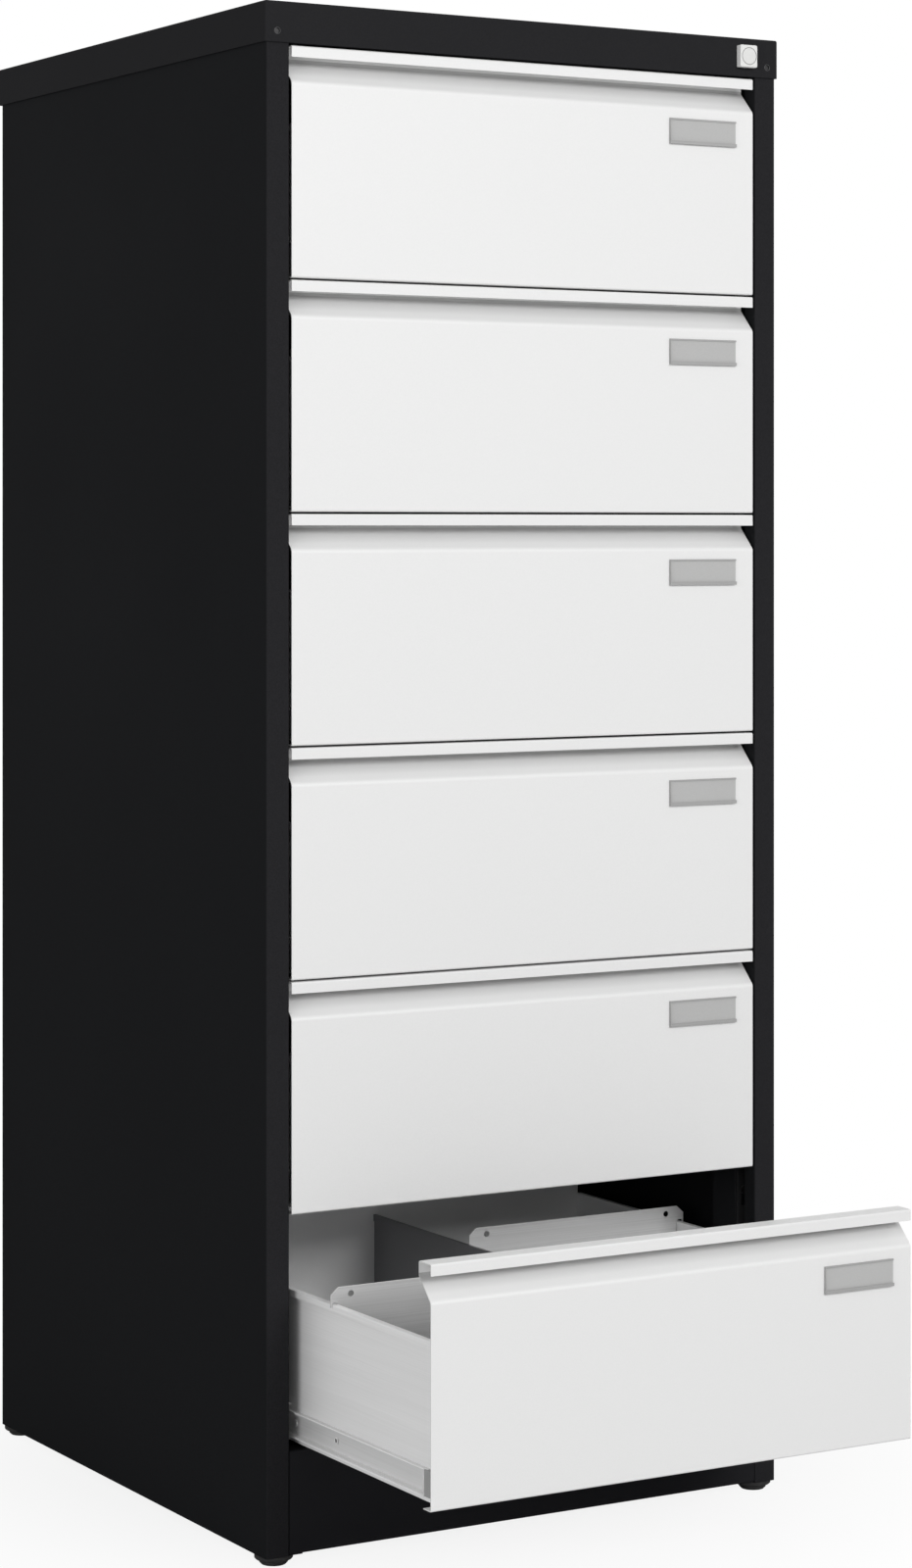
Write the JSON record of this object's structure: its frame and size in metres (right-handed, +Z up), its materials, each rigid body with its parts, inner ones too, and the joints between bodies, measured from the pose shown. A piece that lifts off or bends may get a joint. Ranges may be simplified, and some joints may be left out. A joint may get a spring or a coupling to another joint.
{
  "type": "card index cabinet",
  "caption": "Tall black steel cabinet with white-fronted drawers that hold index cards on edge in rows, on ball slides, with one lock for all, card followers and label holders.",
  "frame": {"origin": "centre of the carcass footprint, on the floor under the feet", "axes": "+Z up, +X to the right as seen from the front, -Y out of the drawer fronts"},
  "size_m": [0.589, 0.904, 1.484],
  "materials": {
    "carcass_paint": "black powder coat, fine texture",
    "fascia_paint": "black powder coat, satin",
    "front_paint": "white powder coat, satin",
    "tray_sheet": "galvanised sheet steel",
    "divider_sheet": "galvanised sheet steel",
    "follower_sheet": "galvanised sheet steel, brushed",
    "label_frame": "pale grey, satin",
    "slide_steel": "bright zinc plate",
    "cage_steel": "bright zinc plate",
    "lock_case": "pale satin",
    "lock_plug": "bright nickel plate",
    "bar_steel": "zinc plate",
    "foot_plastic": "moulded, black",
    "screw_steel": "zinc plate"
  },
  "bodies": {
    "carcass": {"side_left": "carcass_paint", "side_right": "carcass_paint", "top_cover": "fascia_paint", "back_panel": "carcass_paint", "base_pan": "carcass_paint", "levelling_feet": "foot_plastic", "lock_housing": "lock_case", "cabinet_slide_members": "slide_steel", "slide_uprights": "carcass_paint", "screws_and_nuts": "screw_steel"},
    "lock_cylinder": {"lock_cylinder": "lock_plug"},
    "lock_bar": {"lock_bar": "bar_steel"},
    "drawer_1": {"drawer_1_front": "front_paint", "drawer_1_tray": "tray_sheet", "drawer_1_divider": "divider_sheet", "drawer_1_label_holder": "label_frame", "drawer_1_slide_members": "slide_steel"},
    "drawer_1_ball_cages": {"drawer_1_ball_cages": "cage_steel"},
    "drawer_1_follower_left": {"drawer_1_follower_left": "follower_sheet"},
    "drawer_1_follower_right": {"drawer_1_follower_right": "follower_sheet"},
    "drawer_2": {"drawer_2_front": "front_paint", "drawer_2_tray": "tray_sheet", "drawer_2_divider": "divider_sheet", "drawer_2_label_holder": "label_frame", "drawer_2_slide_members": "slide_steel"},
    "drawer_2_ball_cages": {"drawer_2_ball_cages": "cage_steel"},
    "drawer_2_follower_left": {"drawer_2_follower_left": "follower_sheet"},
    "drawer_2_follower_right": {"drawer_2_follower_right": "follower_sheet"},
    "drawer_3": {"drawer_3_front": "front_paint", "drawer_3_tray": "tray_sheet", "drawer_3_divider": "divider_sheet", "drawer_3_label_holder": "label_frame", "drawer_3_slide_members": "slide_steel"},
    "drawer_3_ball_cages": {"drawer_3_ball_cages": "cage_steel"},
    "drawer_3_follower_left": {"drawer_3_follower_left": "follower_sheet"},
    "drawer_3_follower_right": {"drawer_3_follower_right": "follower_sheet"},
    "drawer_4": {"drawer_4_front": "front_paint", "drawer_4_tray": "tray_sheet", "drawer_4_divider": "divider_sheet", "drawer_4_label_holder": "label_frame", "drawer_4_slide_members": "slide_steel"},
    "drawer_4_ball_cages": {"drawer_4_ball_cages": "cage_steel"},
    "drawer_4_follower_left": {"drawer_4_follower_left": "follower_sheet"},
    "drawer_4_follower_right": {"drawer_4_follower_right": "follower_sheet"},
    "drawer_5": {"drawer_5_front": "front_paint", "drawer_5_tray": "tray_sheet", "drawer_5_divider": "divider_sheet", "drawer_5_label_holder": "label_frame", "drawer_5_slide_members": "slide_steel"},
    "drawer_5_ball_cages": {"drawer_5_ball_cages": "cage_steel"},
    "drawer_5_follower_left": {"drawer_5_follower_left": "follower_sheet"},
    "drawer_5_follower_right": {"drawer_5_follower_right": "follower_sheet"},
    "drawer_6": {"drawer_6_front": "front_paint", "drawer_6_tray": "tray_sheet", "drawer_6_divider": "divider_sheet", "drawer_6_label_holder": "label_frame", "drawer_6_slide_members": "slide_steel"},
    "drawer_6_ball_cages": {"drawer_6_ball_cages": "cage_steel"},
    "drawer_6_follower_left": {"drawer_6_follower_left": "follower_sheet"},
    "drawer_6_follower_right": {"drawer_6_follower_right": "follower_sheet"}
  },
  "joints": [
    {"name": "drawer_1_slide", "type": "slide", "parent": "carcass", "child": "drawer_1", "axis": [0, -1, 0], "range_m": [0, 0.43]},
    {"name": "drawer_1_cage_slide", "type": "slide", "parent": "carcass", "child": "drawer_1_ball_cages", "axis": [0, -1, 0], "range_m": [0, 0.215]},
    {"name": "drawer_1_follower_left_slide", "type": "slide", "parent": "drawer_1", "child": "drawer_1_follower_left", "axis": [0, 1, 0], "range_m": [-0.168, 0.362]},
    {"name": "drawer_1_follower_right_slide", "type": "slide", "parent": "drawer_1", "child": "drawer_1_follower_right", "axis": [0, 1, 0], "range_m": [-0.358, 0.172]},
    {"name": "drawer_2_slide", "type": "slide", "parent": "carcass", "child": "drawer_2", "axis": [0, -1, 0], "range_m": [0, 0.43]},
    {"name": "drawer_2_cage_slide", "type": "slide", "parent": "carcass", "child": "drawer_2_ball_cages", "axis": [0, -1, 0], "range_m": [0, 0.215]},
    {"name": "drawer_2_follower_left_slide", "type": "slide", "parent": "drawer_2", "child": "drawer_2_follower_left", "axis": [0, 1, 0], "range_m": [-0.168, 0.362]},
    {"name": "drawer_2_follower_right_slide", "type": "slide", "parent": "drawer_2", "child": "drawer_2_follower_right", "axis": [0, 1, 0], "range_m": [-0.358, 0.172]},
    {"name": "drawer_3_slide", "type": "slide", "parent": "carcass", "child": "drawer_3", "axis": [0, -1, 0], "range_m": [0, 0.43]},
    {"name": "drawer_3_cage_slide", "type": "slide", "parent": "carcass", "child": "drawer_3_ball_cages", "axis": [0, -1, 0], "range_m": [0, 0.215]},
    {"name": "drawer_3_follower_left_slide", "type": "slide", "parent": "drawer_3", "child": "drawer_3_follower_left", "axis": [0, 1, 0], "range_m": [-0.168, 0.362]},
    {"name": "drawer_3_follower_right_slide", "type": "slide", "parent": "drawer_3", "child": "drawer_3_follower_right", "axis": [0, 1, 0], "range_m": [-0.358, 0.172]},
    {"name": "drawer_4_slide", "type": "slide", "parent": "carcass", "child": "drawer_4", "axis": [0, -1, 0], "range_m": [0, 0.43]},
    {"name": "drawer_4_cage_slide", "type": "slide", "parent": "carcass", "child": "drawer_4_ball_cages", "axis": [0, -1, 0], "range_m": [0, 0.215]},
    {"name": "drawer_4_follower_left_slide", "type": "slide", "parent": "drawer_4", "child": "drawer_4_follower_left", "axis": [0, 1, 0], "range_m": [-0.168, 0.362]},
    {"name": "drawer_4_follower_right_slide", "type": "slide", "parent": "drawer_4", "child": "drawer_4_follower_right", "axis": [0, 1, 0], "range_m": [-0.358, 0.172]},
    {"name": "drawer_5_slide", "type": "slide", "parent": "carcass", "child": "drawer_5", "axis": [0, -1, 0], "range_m": [0, 0.43]},
    {"name": "drawer_5_cage_slide", "type": "slide", "parent": "carcass", "child": "drawer_5_ball_cages", "axis": [0, -1, 0], "range_m": [0, 0.215]},
    {"name": "drawer_5_follower_left_slide", "type": "slide", "parent": "drawer_5", "child": "drawer_5_follower_left", "axis": [0, 1, 0], "range_m": [-0.168, 0.362]},
    {"name": "drawer_5_follower_right_slide", "type": "slide", "parent": "drawer_5", "child": "drawer_5_follower_right", "axis": [0, 1, 0], "range_m": [-0.358, 0.172]},
    {"name": "drawer_6_slide", "type": "slide", "parent": "carcass", "child": "drawer_6", "axis": [0, -1, 0], "range_m": [-0.267, 0.163]},
    {"name": "drawer_6_cage_slide", "type": "slide", "parent": "carcass", "child": "drawer_6_ball_cages", "axis": [0, -1, 0], "range_m": [-0.1335, 0.0815]},
    {"name": "drawer_6_follower_left_slide", "type": "slide", "parent": "drawer_6", "child": "drawer_6_follower_left", "axis": [0, 1, 0], "range_m": [-0.168, 0.362]},
    {"name": "drawer_6_follower_right_slide", "type": "slide", "parent": "drawer_6", "child": "drawer_6_follower_right", "axis": [0, 1, 0], "range_m": [-0.358, 0.172]},
    {"name": "lock_turn", "type": "hinge", "parent": "carcass", "child": "lock_cylinder", "pos_m": [0.2545, -0.3, 1.465], "axis": [0, -1, 0], "range_deg": [0, 90]},
    {"name": "lock_bar_lift", "type": "slide", "parent": "carcass", "child": "lock_bar", "axis": [0, 0, 1], "range_m": [0, 0.01414]}
  ],
  "couplings": [
    {"joint": "drawer_1_cage_slide", "follows": "drawer_1_slide", "ratio": 0.5},
    {"joint": "drawer_2_cage_slide", "follows": "drawer_2_slide", "ratio": 0.5},
    {"joint": "drawer_3_cage_slide", "follows": "drawer_3_slide", "ratio": 0.5},
    {"joint": "drawer_4_cage_slide", "follows": "drawer_4_slide", "ratio": 0.5},
    {"joint": "drawer_5_cage_slide", "follows": "drawer_5_slide", "ratio": 0.5},
    {"joint": "drawer_6_cage_slide", "follows": "drawer_6_slide", "ratio": 0.5},
    {"joint": "lock_bar_lift", "follows": "lock_turn", "m_per_rad": 0.0090032}
  ]
}
